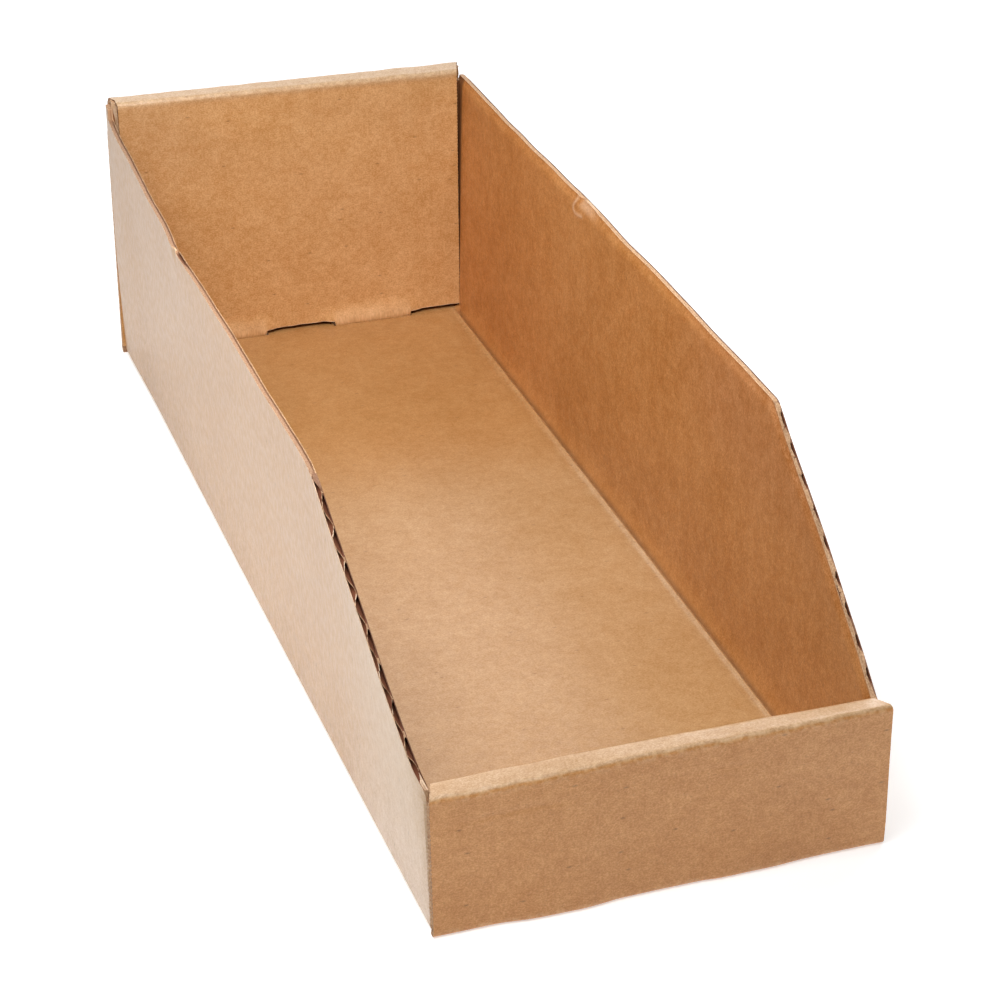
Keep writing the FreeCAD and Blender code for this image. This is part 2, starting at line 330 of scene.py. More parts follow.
def sheet(part, O, I, U, rim, wear=None, skip=None, own_front=None, tone=None, tint=None,
          tint_out=None):
    """A closed thick sheet. O and I (M, K, 3) are its outer and inner faces, undeformed; U (M, K, 2) its place in
    the flat blank. rim(edge, base) gives the (count, T, 3) offsets of the cut edge, and tone(edge, count) how light or
    dark it is, (count, T + 2). tint is the same for the outer and inner faces. own_front lists the spans of path numbers
    at column 0 whose cut edge is made elsewhere."""
    M, K = O.shape[:2]
    w = lambda A: warp(A.reshape(-1, 3), part).reshape(A.shape)
    io, ii = store.add(w(O)), store.add(w(I))
    store.now = painted_light(part, O, True)
    store.grid(io, flat3(U, 0), 0.0, wear, skip, tint_out)
    store.now = painted_light(part, I, False)
    store.grid(ii, flat3(U, 37), 0.0, wear, skip, tint)
    store.now = None

    def strip(A, B, name):
        base = A[:, None, :] * (1 - FR[None, :, None]) + B[:, None, :] * FR[None, :, None]
        return base + rim(name, base)

    F0, F1 = strip(O[0], I[0], "m0"), strip(O[-1], I[-1], "m1")
    G0, G1 = strip(O[:, 0], I[:, 0], "k0"), strip(O[:, -1], I[:, -1], "k1")
    # the four corners are shared by two edges
    for F, G, a, b in ((F0, G0, 0, 0), (F0, G1, -1, 0), (F1, G0, 0, -1), (F1, G1, -1, -1)):
        mean = (F[a] + G[b]) / 2
        F[a] = mean
        G[b] = mean
    f0, f1 = store.add(w(F0)), store.add(w(F1))
    g0, g1 = store.add(w(G0)), store.add(w(G1))
    g0[0], g0[-1], g1[0], g1[-1] = f0[0], f1[0], f0[-1], f1[-1]

    def close(name, a, mid, b, along, only=None):
        rows = np.concatenate([a[:, None], mid, b[:, None]], 1)
        across = np.concatenate([[0], FR, [1]]) * BOARD
        fl = np.stack([np.broadcast_to(along[:, None], rows.shape),
                       np.broadcast_to(across[None, :], rows.shape),
                       np.full(rows.shape, 91.0)], -1)
        sk = None
        if only is not None:
            sk = np.zeros((rows.shape[0] - 1, rows.shape[1] - 1), bool)
            for lo, hi in only:
                sk[lo:hi] = True
        store.grid(rows, fl, 1.0, None, sk, None if tone is None else tone(name, rows.shape[0]))

    close("m0", io[0], f0, ii[0], U[0, :, 0] + U[0, :, 1], own_front)
    close("m1", io[-1], f1, ii[-1], U[-1, :, 0] + U[-1, :, 1])
    close("k0", io[:, 0], g0, ii[:, 0], U[:, 0, 0] + U[:, 0, 1])
    close("k1", io[:, -1], g1, ii[:, -1], U[:, -1, 0] + U[:, -1, 1])
    # sides of any hole
    if skip is not None:
        for a in range(M - 1):
            for b in range(K - 1):
                if not skip[a, b]:
                    continue
                for (da, db, c0, c1) in ((-1, 0, (a, b), (a, b + 1)), (1, 0, (a + 1, b + 1), (a + 1, b)),
                                         (0, -1, (a + 1, b), (a, b)), (0, 1, (a, b + 1), (a + 1, b + 1))):
                    na, nb = a + da, b + db
                    if 0 <= na < M - 1 and 0 <= nb < K - 1 and skip[na, nb]:
                        continue
                    fl = [(U[c0][0], U[c0][1], 91.0), (U[c1][0], U[c1][1], 91.0),
                          (U[c1][0], U[c1][1] + 3, 91.0), (U[c0][0], U[c0][1] + 3, 91.0)]
                    store.face([io[c0], io[c1], ii[c1], ii[c0]], fl, 1.0)
    return io, ii, f0, f1


# ---------------------------------------------------------------- floor and side walls: one sheet, flutes along Y
z_wall = np.array([109.5, 109.0, 108.4, 107.8, 107.1, 106.4, 105.7, 105.0, 104.3, 103.6, 102.9, 102.2, 101.4, 100.0, 97.5,
                   94.5, 91.0, 87.0, 83.0, 79.0, 75.0, 71.0, 67.0, 63.0, 59.0, 55.0, 51.0, 49.0, 47.3, 46.8, 42.0, 36.0,
                   30.0, 24.0, 19.5, 16.0])
fold_out = [(HW, 13.0), (HW, 10.5), (HW, 8.4), (HW, 6.6), (HW, 5.2), (HW, 4.2), (HW, 3.4)]
fold_out += [(HW - 2.7 + 2.7 * math.cos(a), 2.7 - 2.7 * math.sin(a)) for a in np.radians([0, 15, 30, 45, 60, 75, 90])]
fold_out += [(x, 0.0) for x in (72.8, 72.0, 71.0, 69.8, 68.3, 66.4, 64.3)]
# inner liner at the crease: the wall's foot, a sharp fold, a thin ridge and a scored dip beside it
bead = [(0, 10), (0.1, 7.3), (0.38, 4.9), (0.75, 3.1), (1.12, 1.7), (1.48, 0.75), (1.78, 0.05), (2.0, -0.40), (2.3, -0.28),
        (2.62, 0.05), (2.9, 0.30), (3.15, 0.40), (3.4, 0.34), (3.7, 0.10), (4.05, -0.16), (4.5, -0.32), (5.15, -0.34),
        (6.1, -0.26), (7.3, -0.12), (8.7, -0.03), (10.6, 0.0)]
fold_in = [(HW - BOARD - dx, BOARD + dz) for dx, dz in bead]
assert len(fold_in) == len(fold_out)
x_floor = sorted([0.0, 5.0, 10.0, 14.85, 20.0, 26.0, 32.7, 39.4, 45.4, 50.55, 54.0, 58.0])

right_out = [(HW, z) for z in z_wall] + fold_out
right_in = [(HW - BOARD, z) for z in z_wall] + fold_in
mid_x = [x for x in x_floor[::-1]]
path_out = [(-x, z) for x, z in right_out] + [(-x, 0.0) for x in mid_x] + [(x, 0.0) for x in mid_x[::-1][1:]] + right_out[::-1]
path_in = [(-x, z) for x, z in right_in] + [(-x, BOARD) for x in mid_x] + [(x, BOARD) for x in mid_x[::-1][1:]] + right_in[::-1]
path_out, path_in = np.array(path_out), np.array(path_in)
K = len(path_out)
step = np.hypot(*np.diff((path_out + path_in) / 2, axis=0).T)
u_path = np.concatenate([[0], np.cumsum(step)])
u_path -= (u_path[0] + u_path[-1]) / 2

Y1 = -102.0
slots_y = (HL - ROLL - 2.25, HL - ROLL + 2.6)     # the floor slots, from the middle outwards
s_front = [0, 0.0001]
s_front = sorted(set([0.0, 0.006] + [(-slots_y[1] + HL - 3) / (Y1 + HL - 3), (-slots_y[0] + HL - 3) / (Y1 + HL - 3)]
                     + [0.018, 0.085, 0.115, 0.15, 0.2, 0.26, 0.33, 0.41, 0.5, 0.6, 0.7, 0.8, 0.9]))
y_mid = list(np.arange(Y1, 48, 7.0)) + [48, 50, 52, 53.5] + list(np.arange(55, 84, 0.85)) + [84.3, 86, 88, 90.5, 93.5, 97]
y_mid += list(np.arange(101, 202, 7.0))
y_back = [205, 210.5, 213.8, slots_y[0], 218.1, 218.85, 219.35, slots_y[1], 223.2, 224.4, 225.0]
cols = []
y0_path = np.full(K, -HL + BOARD)
y1_path = np.full(K, HL - BOARD)
for k in range(K):
    x, z = path_out[k]
    side = -1 if x < 0 else 1
    t = smooth((abs(x) - 73.0) / 1.5)
    if abs(x) > 73.4:
        y0_path[k] = float(slope_y(side, z)) if z > 10 else -END_Y
        y1_path[k] = END_Y
for s in s_front:
    cols.append(y0_path + (Y1 - y0_path) * s)
for y in y_mid + y_back:
    cols.append(np.full(K, float(y)))
cols.append(y1_path)
cols = np.array(cols)
M = len(cols)
O = np.stack([np.broadcast_to(path_out[:, 0], (M, K)), cols, np.broadcast_to(path_out[:, 1], (M, K))], -1)
I = np.stack([np.broadcast_to(path_in[:, 0], (M, K)), cols, np.broadcast_to(path_in[:, 1], (M, K))], -1).copy()
O = O.copy()
# small rounding where the outer liner turns into the corner flaps
for k in range(K):
    x, z = path_out[k]
    if abs(x) > 76.0:
        for j in range(M):
            for lo in (True, False):
                if lo and not (z < FOOT[-1 if x < 0 else 1] - 0.5):
                    continue
                d = cols[j, k] + END_Y if lo else END_Y - cols[j, k]
                if d < 1.3:
                    O[j, k, 0] -= math.copysign(1.3 - math.sqrt(max(0.0, 1.69 - (1.3 - d) ** 2)), x)
# the bead and the slanted foot die out under the inner end panels
tint_u = np.zeros((M, K))
for k in range(K):
    x, z = path_in[k]
    if 61.0 < abs(x) < 73.25 and z < 13.5:
        y = cols[:, k]
        w = smooth((HL - ROLL - 1.0 - np.abs(y)) / 5.0)
        dx = HW - BOARD - abs(x)
        lump = 1.0 + 0.14 * Wave(51 + (x > 0), 26)(y) + 0.08 * Wave(53 + (x > 0), 5)(y)
        if dx < 1.95:
            I[:, k, 0] = math.copysign(1, x) * (HW - BOARD - dx * w)
            I[:, k, 2] = z + (1 - w) * (0.4 if dx > 1.6 else 0.0)
        else:
            I[:, k, 2] = BOARD + (z - BOARD) * np.clip(w * lump, 0, 1.5)
        # painted light and shade along the crease: a faint painted highlight on the ridge, a dark painted shadow in the
        # fold at the wall's foot and a little painted shade in the dip beside it
        tint_u[:, k] = w * (0.04 * math.exp(-((dx - 3.15) / 0.45) ** 2) * np.clip(1 + 0.5 * Wave(55, 11)(y), 0.2, 2)
                            - 0.58 * math.exp(-((dx - 1.90) / 0.50) ** 2) - 0.06 * math.exp(-((dx - 4.6) / 1.6) ** 2))
# the corner behind the inner back panel is deep: painted shadow darkens the wall there
for k in range(K):
    if abs(path_in[k, 0]) > 73.1 and path_in[k, 1] > 4:
        tint_u[:, k] -= 0.78 * smooth((cols[:, k] - 217.9) / 1.4)
# scuffs on the crushed part of the right edge
for k in range(K):
    x, z = path_in[k]
    if x > 73.1 and z > 98:
        y = cols[:, k]
        h = hook(y, z)
        patch = smooth((75.0 - y) / 3.0) * smooth((y - 50.0) / 16.0) * smooth((z - 104.4) / 3.4)
        tint_u[:, k] += 0.42 * np.exp(-(h / 0.66) ** 2) + 0.26 * patch
        tint_u[:, k] -= 0.22 * np.exp(-((y - 72.8 - (z - 108.6) * -0.9) / 0.75) ** 2) * smooth((z - 106.4) / 1.6)
U = np.stack([np.broadcast_to(u_path, (M, K)), cols], -1)
skip = np.zeros((M - 1, K - 1), bool)
for j in range(M - 1):
    ym = (cols[j] + cols[j + 1]) / 2
    for k in range(K - 1):
        xm = (path_out[k, 0] + path_out[k + 1, 0]) / 2
        y_here = (ym[k] + ym[k + 1]) / 2
        if path_out[k, 1] < 0.01 and path_out[k + 1, 1] < 0.01 and slots_y[0] < abs(y_here) < slots_y[1] \
                and 14.85 < abs(xm) < 50.55:
            skip[j, k] = True

lip_noise = [Wave(60 + i, 7.0, spread=5.0) for i in range(T)]
# height of the wall's cut edge across the board, outer liner to inner
LIPS = {-1: np.array([0.02, 0.00, -0.06, -0.12, -0.18, -0.25, -0.45, -0.70, -0.25, 0.02]),
        1: np.array([-0.25, -0.12, 0.00, 0.02, -0.04, -0.10, -0.05, 0.00, 0.02, 0.02])}


def u_rim(name, base):
    n = base.shape[0]
    off = np.zeros((n, T, 3))
    if name in ("k0", "k1"):
        side = -1 if name == "k0" else 1
        y = base[:, 0, 1]
        fade = smooth((y - SLOPE_Y) / 6.0) * smooth((218.0 - y) / 2.0)
        for t in range(T):
            off[:, t, 2] = LIPS[side][t] * (0.75 + 0.25 * fade) + 0.07 * lip_noise[t](y) - 0.04 * abs(lip_noise[(t + 3) % T](y * 2.3))
        if side < 0:
            gape = smooth((72.6 - y) / 2.0) * smooth((y - 52) / 16.0)
            for t in range(3, 8):
                off[:, t, 2] -= gape * 0.9
        off[:, :, 2] *= (0.35 + 0.65 * fade)[:, None]
    if name == "m0":
        off[:, :, 1] = 0.0
    return off


zi = [k for k in range(K) if abs(path_out[k, 0]) > 76.0 and path_out[k, 1] >= 50.9]
left_top, left_foot = 0, max(k for k in zi if path_out[k, 0] < 0)
right_foot, right_top = min(k for k in zi if path_out[k, 0] > 0), K - 1
wear_u = np.zeros((M, K))
for k in range(K):
    x, z = path_out[k]
    if abs(x) > 70 and z < 6:
        wear_u[:, k] = 0.3 * math.exp(-((z - 1.2) / 1.8) ** 2)
# how light or dark the walls' cut top edges are, outer liner to inner; the dark groove of the left edge is painted
# shade
EDGE_TONE = {-1: np.array([-0.10, -0.42, -0.56, -0.58, -0.55, -0.60, -0.70, -0.82, -0.76, -0.34, 0.10, 0.14]),
             1: np.array([-0.97, -0.95, -0.88, -0.42, -0.12, -0.06, -0.12, -0.15, -0.08, 0.04, 0.12, 0.02])}


def u_tone(name, count):
    if name in ("k0", "k1"):
        side = -1 if name == "k0" else 1
        y = cols[:, 0 if side < 0 else -1]
        out = np.repeat(EDGE_TONE[side][None, :], count, 0)
        fade = smooth((y - SLOPE_Y + 6) / 8.0)[:, None]
        out = out * (0.45 + 0.55 * fade) if side > 0 else out * fade - 0.75 * (1 - fade)
        if side < 0:
            # just in front of the nip the liners part and the edge is open, its opening darkened with painted shade
            gape = (smooth((72.6 - y) / 2.0) * smooth((y - 52) / 16.0))[:, None]
            out[:, 4:9] -= 0.55 * gape
            nip = np.exp(-((y - 74.2) / 2.0) ** 2)[:, None]
            out = out * (1 - nip) + 0.35 * nip
        else:
            tear = np.exp(-((y - 71.6) / 0.9) ** 2)[:, None]
            out = out * (1 - tear) - 0.45 * tear
            patch = (smooth((71.0 - y) / 2.0) * smooth((y - 52) / 12.0))[:, None]
            out[:, 2:] = out[:, 2:] * (1 - patch) + 0.30 * patch
        back = smooth((y - 217) / 3.0)[:, None]
        return out * (1 - back) - 0.25 * back
    return np.full((count, T + 2), -0.12)


io, ii, f0, f1 = sheet("u", O, I, U, u_rim, wear_u, skip, own_front=[(left_top, left_foot), (right_foot, right_top)],
                       tone=u_tone, tint=tint_u)


def inside(loop, x, y):
    p = np.array(loop)
    q = np.roll(p, -1, axis=0)
    up = (p[:, 1] > y) != (q[:, 1] > y)
    with np.errstate(divide="ignore", invalid="ignore"):
        cut_x = p[:, 0] + (y - p[:, 1]) * (q[:, 0] - p[:, 0]) / (q[:, 1] - p[:, 1])
    return int(np.count_nonzero(up & (x < cut_x))) % 2 == 1


def triangles_in(loops):
    """Triangles of the first loop less the others, as point numbers."""
    pts = [Vector(p) for lp in loops for p in lp]
    edges, at = [], 0
    for lp in loops:
        edges += [(at + i, at + (i + 1) % len(lp)) for i in range(len(lp))]
        at += len(lp)
    _, _, faces, orig, _, _ = delaunay_2d_cdt(pts, edges, [], 0, 1e-6)
    res = []
    for f in faces:
        t = [orig[i][0] for i in f]
        cx, cy = (sum(pts[i][c] for i in t) / 3 for c in (0, 1))
        if inside(loops[0], cx, cy) and not any(inside(lp, cx, cy) for lp in loops[1:]):
            res.append(t)
    return res


# the fluted cut on each slope: channels run back into the wall
STROKE = (1, 0, 0, 0, 1, 0, 1, 0, 0, 0, 1, 0, 1, 0)
for side, k_lo, k_hi in ((-1, left_top, left_foot), (1, right_foot, right_top)):
    ks = list(range(k_lo, k_hi + 1))
    k_top, k_foot = (k_lo, k_hi) if side < 0 else (k_hi, k_lo)
    order = ks if side < 0 else ks[::-1]                  # from the top down
    loop_idx, loop_2d = [], []
    for k in order:
        loop_idx.append(io[0, k])
        loop_2d.append((0.0, path_out[k, 1]))
    for t in range(T):
        loop_idx.append(f0[k_foot, t])
        loop_2d.append((FR[t] * BOARD, path_out[k_foot, 1] + 0.0))
    for k in order[::-1]:
        loop_idx.append(ii[0, k])
        loop_2d.append((BOARD, path_in[k, 1]))
    lips_here = u_rim("k0" if side < 0 else "k1", np.broadcast_to(np.array([0.0, SLOPE_Y, SIDE_H]), (1, T, 3)))[0, :, 2] / 2
    for t in range(T)[::-1]:
        loop_idx.append(f0[k_top, t])
        loop_2d.append((FR[t] * BOARD, SIDE_H + lips_here[t]))
    loops2, loops3, rings = [loop_2d], [loop_idx], []
    r = np.random.default_rng(900 + (100 if side > 0 else 0))
    # the medium as one wave: turning points, alternately at the outer and the inner liner
    z_first, z_last, nt = (51.35 if side < 0 else 51.7), SIDE_H - 1.0, []
    count = int(round((z_last - z_first) / (FLUTE / 2)))
    zt = np.concatenate([[0], np.cumsum(FLUTE / 2 + r.uniform(-0.25, 0.25, count))])
    zt = z_first + zt * (z_last - z_first) / zt[-1]
    for j in range(len(zt)):
        squash = abs(r.normal(0, 0.16)) + (0.45 if r.uniform() < 0.12 else 0.0)
        if side < 0:
            nt.append(0.41 + 0.5 * squash if j % 2 == 0 else 2.56 - squash)
        else:
            nt.append(0.41 + 0.3 * squash if j % 2 == 0 else 2.30 - squash)
    skew = r.normal(0, 0.06, len(zt))

    def medium(z):
        j = int(np.clip(np.searchsorted(zt, z) - 1, 0, len(zt) - 2))
        t = (z - zt[j]) / (zt[j + 1] - zt[j])
        t = t + skew[j] * math.sin(math.pi * t)
        mid = nt[j] + (nt[j + 1] - nt[j]) * (0.5 - 0.5 * math.cos(math.pi * t))
        slope = (nt[j + 1] - nt[j]) * 0.5 * math.pi * math.sin(math.pi * t) / (zt[j + 1] - zt[j])
        return mid, 0.115 * math.sqrt(1 + slope * slope)

    # crushed by the cutting rule, the channels pinch nearly shut a little way in
    depths = [0.0, 0.7, 1.8, 3.2, 4.8, 6.4]
    open_ = [1.0, 0.94, 0.80, 0.58, 0.34, 0.10]
    n = 0
    for j in range(len(zt) - 2):
        outer = j % 2 == 0                 # between two places where the medium touches this liner
        liner = 0.32 if outer else BOARD - 0.32
        if side > 0 and not outer and r.uniform() < 0.75:
            continue                       # crushed shut
        zs = np.linspace(zt[j], zt[j + 2], 17)[1:-1]
        keep = []
        for z in zs:
            mid, half = medium(z)
            b_ = mid - half if outer else mid + half
            if side > 0:
                b_ = liner + (b_ - liner) * (0.62 if outer else 0.35)
            if (outer and b_ > liner + (0.10 if side < 0 else 0.42)) or (not outer and b_ < liner - 0.10):
                keep.append((z, b_))
        if len(keep) < 5:
            continue
        lo, hi = keep[0][0], keep[-1][0]
        ring = [(z, b_) for z, b_ in keep] + [(lo + (hi - lo) * t, liner + (0.015 if i % 2 else -0.015))
                                              for i, t in enumerate((0.96, 0.75, 0.5, 0.25, 0.04))]
        zn = np.array(ring)
        med = np.concatenate([np.ones(len(keep)), np.zeros(5)])
        recess = med * (0.25 + 0.45 * abs(r.normal(0, 1, len(ring)))) + 0.12 * abs(r.normal(0, 1, len(ring)))
        rows = []
        for i, dep in enumerate(depths):
            zz = lo + (hi - lo) / 2 + (zn[:, 0] - (lo + hi) / 2) * (1 - 0.25 * (1 - open_[i]))
            nn = liner + (zn[:, 1] - liner) * open_[i]
            yy = slope_y(side, zz) + dep + (recess if i == 0 else recess * (0.6 if i == 1 else 0.0))
            P = np.stack([side * (HW - nn), yy, zz], 1)
            rows.append(store.add(warp(P, "u")))
            if i == 0:
                loops2.append([(a, b) for a, b in zip(nn, zz)])
                loops3.append(list(rows[0]))
        rows = np.array(rows)
        rows_closed = np.concatenate([rows, rows[:, :1]], 1)
        fl = np.stack([np.broadcast_to(np.arange(rows_closed.shape[1])[None, :] * 0.4 + zt[j], rows_closed.shape),
                       np.broadcast_to(np.array(depths)[:, None], rows_closed.shape),
                       np.full(rows_closed.shape, 55.0)], -1)
        store.grid(rows_closed, fl, 2.0)
        last = rows[-1]
        for tri in triangles_in([[(a, b) for a, b in zn]]):
            store.face([last[i] for i in tri], [(zt[j], 60.0, 55.0)] * 3, 2.0)
        n += 1
    flat_idx = [i for lp in loops3 for i in lp]
    flat_2d = [p for lp in loops2 for p in lp]
    tris = triangles_in(loops2)
    area = 0.0

    def cut_tone(n_, z_):
        """Light liner edges and light strokes of torn medium on a dark cut."""
        if n_ < 0.33:
            return 0.22 if side < 0 else -0.97
        if side > 0 and n_ < 0.60:
            return -0.85
        if z_ > zt[-1] - (3.4 if side < 0 else 0) or z_ < zt[0]:
            return -0.80 if side < 0 else -0.3
        j = int(np.clip(np.searchsorted(zt, z_) - 1, 0, len(zt) - 2))
        if side < 0:
            if n_ > BOARD - 0.36:
                return -1.0
            t = (z_ - zt[j]) / (zt[j + 1] - zt[j])
            return (0.50 if STROKE[j % len(STROKE)] else 0.10) if j % 2 == 0 and 0.1 < t < 0.9 else -0.35
        return 0.0 if n_ > 1.35 else -0.15
    for tri in tris:
        p = [flat_2d[i] for i in tri]
        area += abs((p[1][0] - p[0][0]) * (p[2][1] - p[0][1]) - (p[2][0] - p[0][0]) * (p[1][1] - p[0][1])) / 2
        tn = cut_tone(sum(q[0] for q in p) / 3, sum(q[1] for q in p) / 3)
        store.face([flat_idx[i] for i in tri], [(p_[1] * 2, p_[0], 91.0) for p_ in p], 1.0, None, [tn] * 3)


    def area_of(lp):
        a = np.array(lp)
        return abs(np.dot(a[:, 0], np.roll(a[:, 1], -1)) - np.dot(a[:, 1], np.roll(a[:, 0], -1))) / 2
    want = area_of(loops2[0]) - sum(area_of(lp) for lp in loops2[1:])
    print("slope", side, "channels", n, "face area %.2f of %.2f" % (area, want))


# ---------------------------------------------------------------- end panels: outer panel, roll-over, inner panel with tabs
SAW = {"front": {"m0": 0.15, "m1": 0.03}, "back": {"m0": 0.03, "m1": 0.19}}   # how ragged the cut sides are


def end_sheet(part, end, top, pitch, pitch_in):
    def arc(cx, cz, r, a0, a1, n):
        return [(cx + r * math.cos(a), cz + r * math.sin(a)) for a in np.radians(np.linspace(a0, a1, n))]
    Rr = 2.0
    out = arc(FOLD_R + 0.0, FOLD_R, FOLD_R, 270, 180, 6)
    out[0] = (BOARD, 0.0)
    out = [(BOARD, 0.0), (BOARD - 0.6, 0.0)] + arc(FOLD_R, FOLD_R, FOLD_R, 270, 180, 6)
    inn = [(BOARD, BOARD)] + [(BOARD, BOARD + 0.12 * i) for i in range(1, 8)]
    n1 = max(4, int((top - Rr - 4.0) / pitch))
    for i in range(1, n1 + 1):
        t = i / (n1 + 1)
        out.append((0.0, FOLD_R + (top - Rr - FOLD_R) * t))
        inn.append((BOARD, BOARD + 0.84 + (top - BOARD - 0.4 - BOARD - 0.84) * t))
    out += arc(Rr, top - Rr, Rr, 180, 90, 7)
    inn += arc(BOARD + 0.4, top - BOARD - 0.4, 0.4, 180, 90, 7)
    n2 = 5
    for i in range(1, n2 + 1):
        t = i / (n2 + 1)
        out.append((Rr + (ROLL - 2 * Rr) * t, top))
        inn.append((BOARD + 0.4 + (ROLL - 2 * BOARD - 0.8) * t, top - BOARD))
    out += arc(ROLL - Rr, top - Rr, Rr, 90, 0, 7)
    inn += arc(ROLL - BOARD - 0.4, top - BOARD - 0.4, 0.4, 90, 0, 7)
    roll_from, roll_to = len(out) - 7 - n2 - 7, len(out) - 1
    n3 = max(4, int((top - Rr - 12.0) / pitch_in))
    for i in range(1, n3 + 1):
        t = i / n3
        out.append((ROLL, top - Rr + (12.0 - top + Rr) * t))
        inn.append((ROLL - BOARD, top - BOARD - 0.4 + (12.0 - top + BOARD + 0.4) * t))
    tail = len(out)
    for z in (10.5, 9.2, 8.0, 7.0, 6.2):
        out.append((ROLL, z))
        inn.append((ROLL - BOARD, z))
    last = len(out)
    for t in (0.3, 0.6, 0.9, 1.0):
        out.append((ROLL, 6.2 - t))          # heights set per column below
        inn.append((ROLL - BOARD, 6.2 - t))
    out, inn = np.array(out), np.array(inn)
    Kp = len(out)
    half = 73.4 if part == "back" else 72.9
    f = np.ones(Kp)
    for k in range(Kp):
        if k >= roll_from:
            d = min(max(out[k, 0], 0), ROLL)
            f[k] = 1 - (1 - half / HW) * (d / ROLL if k <= roll_to else 1.0)
    # columns: even, with pairs at the tabs' sides
    r = half / HW
    sides = []
    for a, b in ((TAB_IN, 0.9), (TAB_OUT, -0.35)):
        sides += [(a, 1, a > 30), (a, 0, a > 30)]
    xs = [(v, None) for v in (0, 3.5, 7, 10.5, 13)]
    xs += [(TAB_IN, "notch"), (TAB_IN + 1.3, "tab")]
    xs += [(v, "tab") for v in (19, 22, 25, 28, 31, 34, 37, 40, 43, 46)]
    xs += [(TAB_OUT - 0.35, "tab"), (TAB_OUT + 0.1, "notch")]
    xs += [(v, None) for v in (53, 56, 59, 62, 65, 68, 70.5, 72.0, half)]
    cols_x = [(-a, b) for a, b in xs[::-1]] + [(a, b) for a, b in xs[1:]]
    Mp = len(cols_x)
    O = np.zeros((Mp, Kp, 3))
    I = np.zeros((Mp, Kp, 3))
    U = np.zeros((Mp, Kp, 2))
    wear = np.zeros((Mp, Kp))
    tint_o = np.zeros((Mp, Kp))
    v_out = np.concatenate([[0], np.cumsum(np.hypot(*np.diff(out, axis=0).T))]) + HL
    bot = Wave(71 if part == "back" else 72, 9)
    for m, (xi, what) in enumerate(cols_x):
        x_out = xi / r
        low = 0.6 if what == "tab" else 4.8 + 0.12 * float(bot(xi))
        o, i = out.copy(), inn.copy()
        for q, t in enumerate((0.3, 0.6, 0.9, 1.0)):
            o[last + q, 1] = i[last + q, 1] = 6.2 + (low - 6.2) * t
        # towards its tabs the inner panel is pushed forward into the bin
        near = smooth((abs(xi) - TAB_IN + 7) / 8) * smooth((TAB_OUT + 7 - abs(xi)) / 8)
        for k in range(tail - 6, Kp):
            for arr in (o, i):
                z = arr[k, 1]
                arr[k, 0] += near * (2.0 * smooth((12.5 - z) / 9.5) - 0.9 * smooth((3.6 - z) / 3.0))
        # cut sides are crushed thin
        thin = smooth((abs(x_out) - 70.5) / 4.0)
        if part == "back":
            for k in range(roll_from, roll_to + 1):
                i[k, 1] += thin * 1.7
        for k in range(roll_to - 6, Kp):
            i[k, 0] += thin * (1.5 if part == "back" else 1.0) * (1.0 if k > roll_to else 0.5)
        if part == "front":
            # a faint second score line below the crease
            s = math.exp(-((xi + 47) / 22) ** 2) + 0.8 * math.exp(-((xi - 19) / 14) ** 2)
            for k in range(8, roll_from):
                o[k, 0] += 0.30 * min(1, s) * math.exp(-((o[k, 1] - 40.6 - 0.5 * math.sin(xi / 9.0)) / 0.9) ** 2)
        # the tabs' forward-bent lower part is made paler: painted light; over the notches the panel pales towards its
        # lower edge
        if what == "tab":
            for k in range(tail - 4, Kp):
                tint_o[m, k] = 0.12 * smooth((o[k, 1] - 2.6) / 1.5) * smooth((12.0 - o[k, 1]) / 6.0) * near
        else:
            tint_o[m, Kp - 3:] = (0.0, 0.25, 0.5)
        O[m, :, 0] = x_out * f
        I[m, :, 0] = x_out * f
        O[m, :, 1] = end * (HL - o[:, 0])
        I[m, :, 1] = end * (HL - i[:, 0])
        O[m, :, 2] = o[:, 1]
        I[m, :, 2] = i[:, 1]
        U[m, :, 0] = xi
        U[m, :, 1] = end * v_out
        # paler along the folds and the roll-over's creases: wear, and on the outer crease also a painted highlight
        for k in range(Kp):
            if k < 8:
                wear[m, k] = 0.6
            elif roll_from - 1 <= k <= roll_from + 7:
                wear[m, k] = 1.0 * math.exp(-((k - roll_from - 2.5) / 2.6) ** 2)
            elif roll_to - 7 <= k <= roll_to + 1:
                wear[m, k] = 0.7 * math.exp(-((k - roll_to + 3) / 2.6) ** 2)
    run = np.concatenate([[0], np.cumsum(np.hypot(*np.diff(out, axis=0).T))])

    def rim(name, base):
        n = base.shape[0]
        off = np.zeros((n, T, 3))
        if name in ("m0", "m1"):
            sgn = -1 if name == "m0" else 1
            rr = np.random.default_rng(500 + (7 if sgn > 0 else 0) + (20 if part == "back" else 0))
            saw = np.where(np.arange(n) % 2 == 0, 1.0, -1.0) * rr.uniform(0.35, 1.0, n)
            shape = np.array([0.04, 0.05, -0.05, -0.35, -0.70, -0.65, -0.30, -0.05, 0.05, 0.04])
            for t in range(T):
                tooth = (1 if t < T / 2 else -1) * SAW[part][name]
                off[:, t, 0] = sgn * (shape[t] * (0.8 + 0.25 * lip_noise[t](run)) + tooth * saw)
        if name == "k1":
            shape = np.array([0.02, 0.02, -0.25, -0.45, -0.5, -0.5, -0.45, -0.25, 0.02, 0.02])
            off[:, :, 2] = -shape[None, :] * 0.8
        return off

    def rim_k(name, base):
        off = rim(name, base)
        if name == "k0":
            off[:] = 0
        return off
    # the liners' own edges are nibbled a little too
    rr = np.random.default_rng(77 + (part == "back"))
    nib = np.where(np.arange(Kp) % 2 == 0, 1.0, -1.0) * rr.uniform(0.4, 1.0, Kp)
    body = smooth((run - 6) / 3.0)
    O[0, :, 0] -= SAW[part]["m0"] * nib * body
    O[-1, :, 0] += SAW[part]["m1"] * nib * body
    I[0, :, 0] += SAW[part]["m0"] * nib * body
    I[-1, :, 0] -= SAW[part]["m1"] * nib * body
    number = np.arange(Kp)
    outer_run, roll_run, inner_run = number < roll_from, (number >= roll_from) & (number <= roll_to), number > roll_to

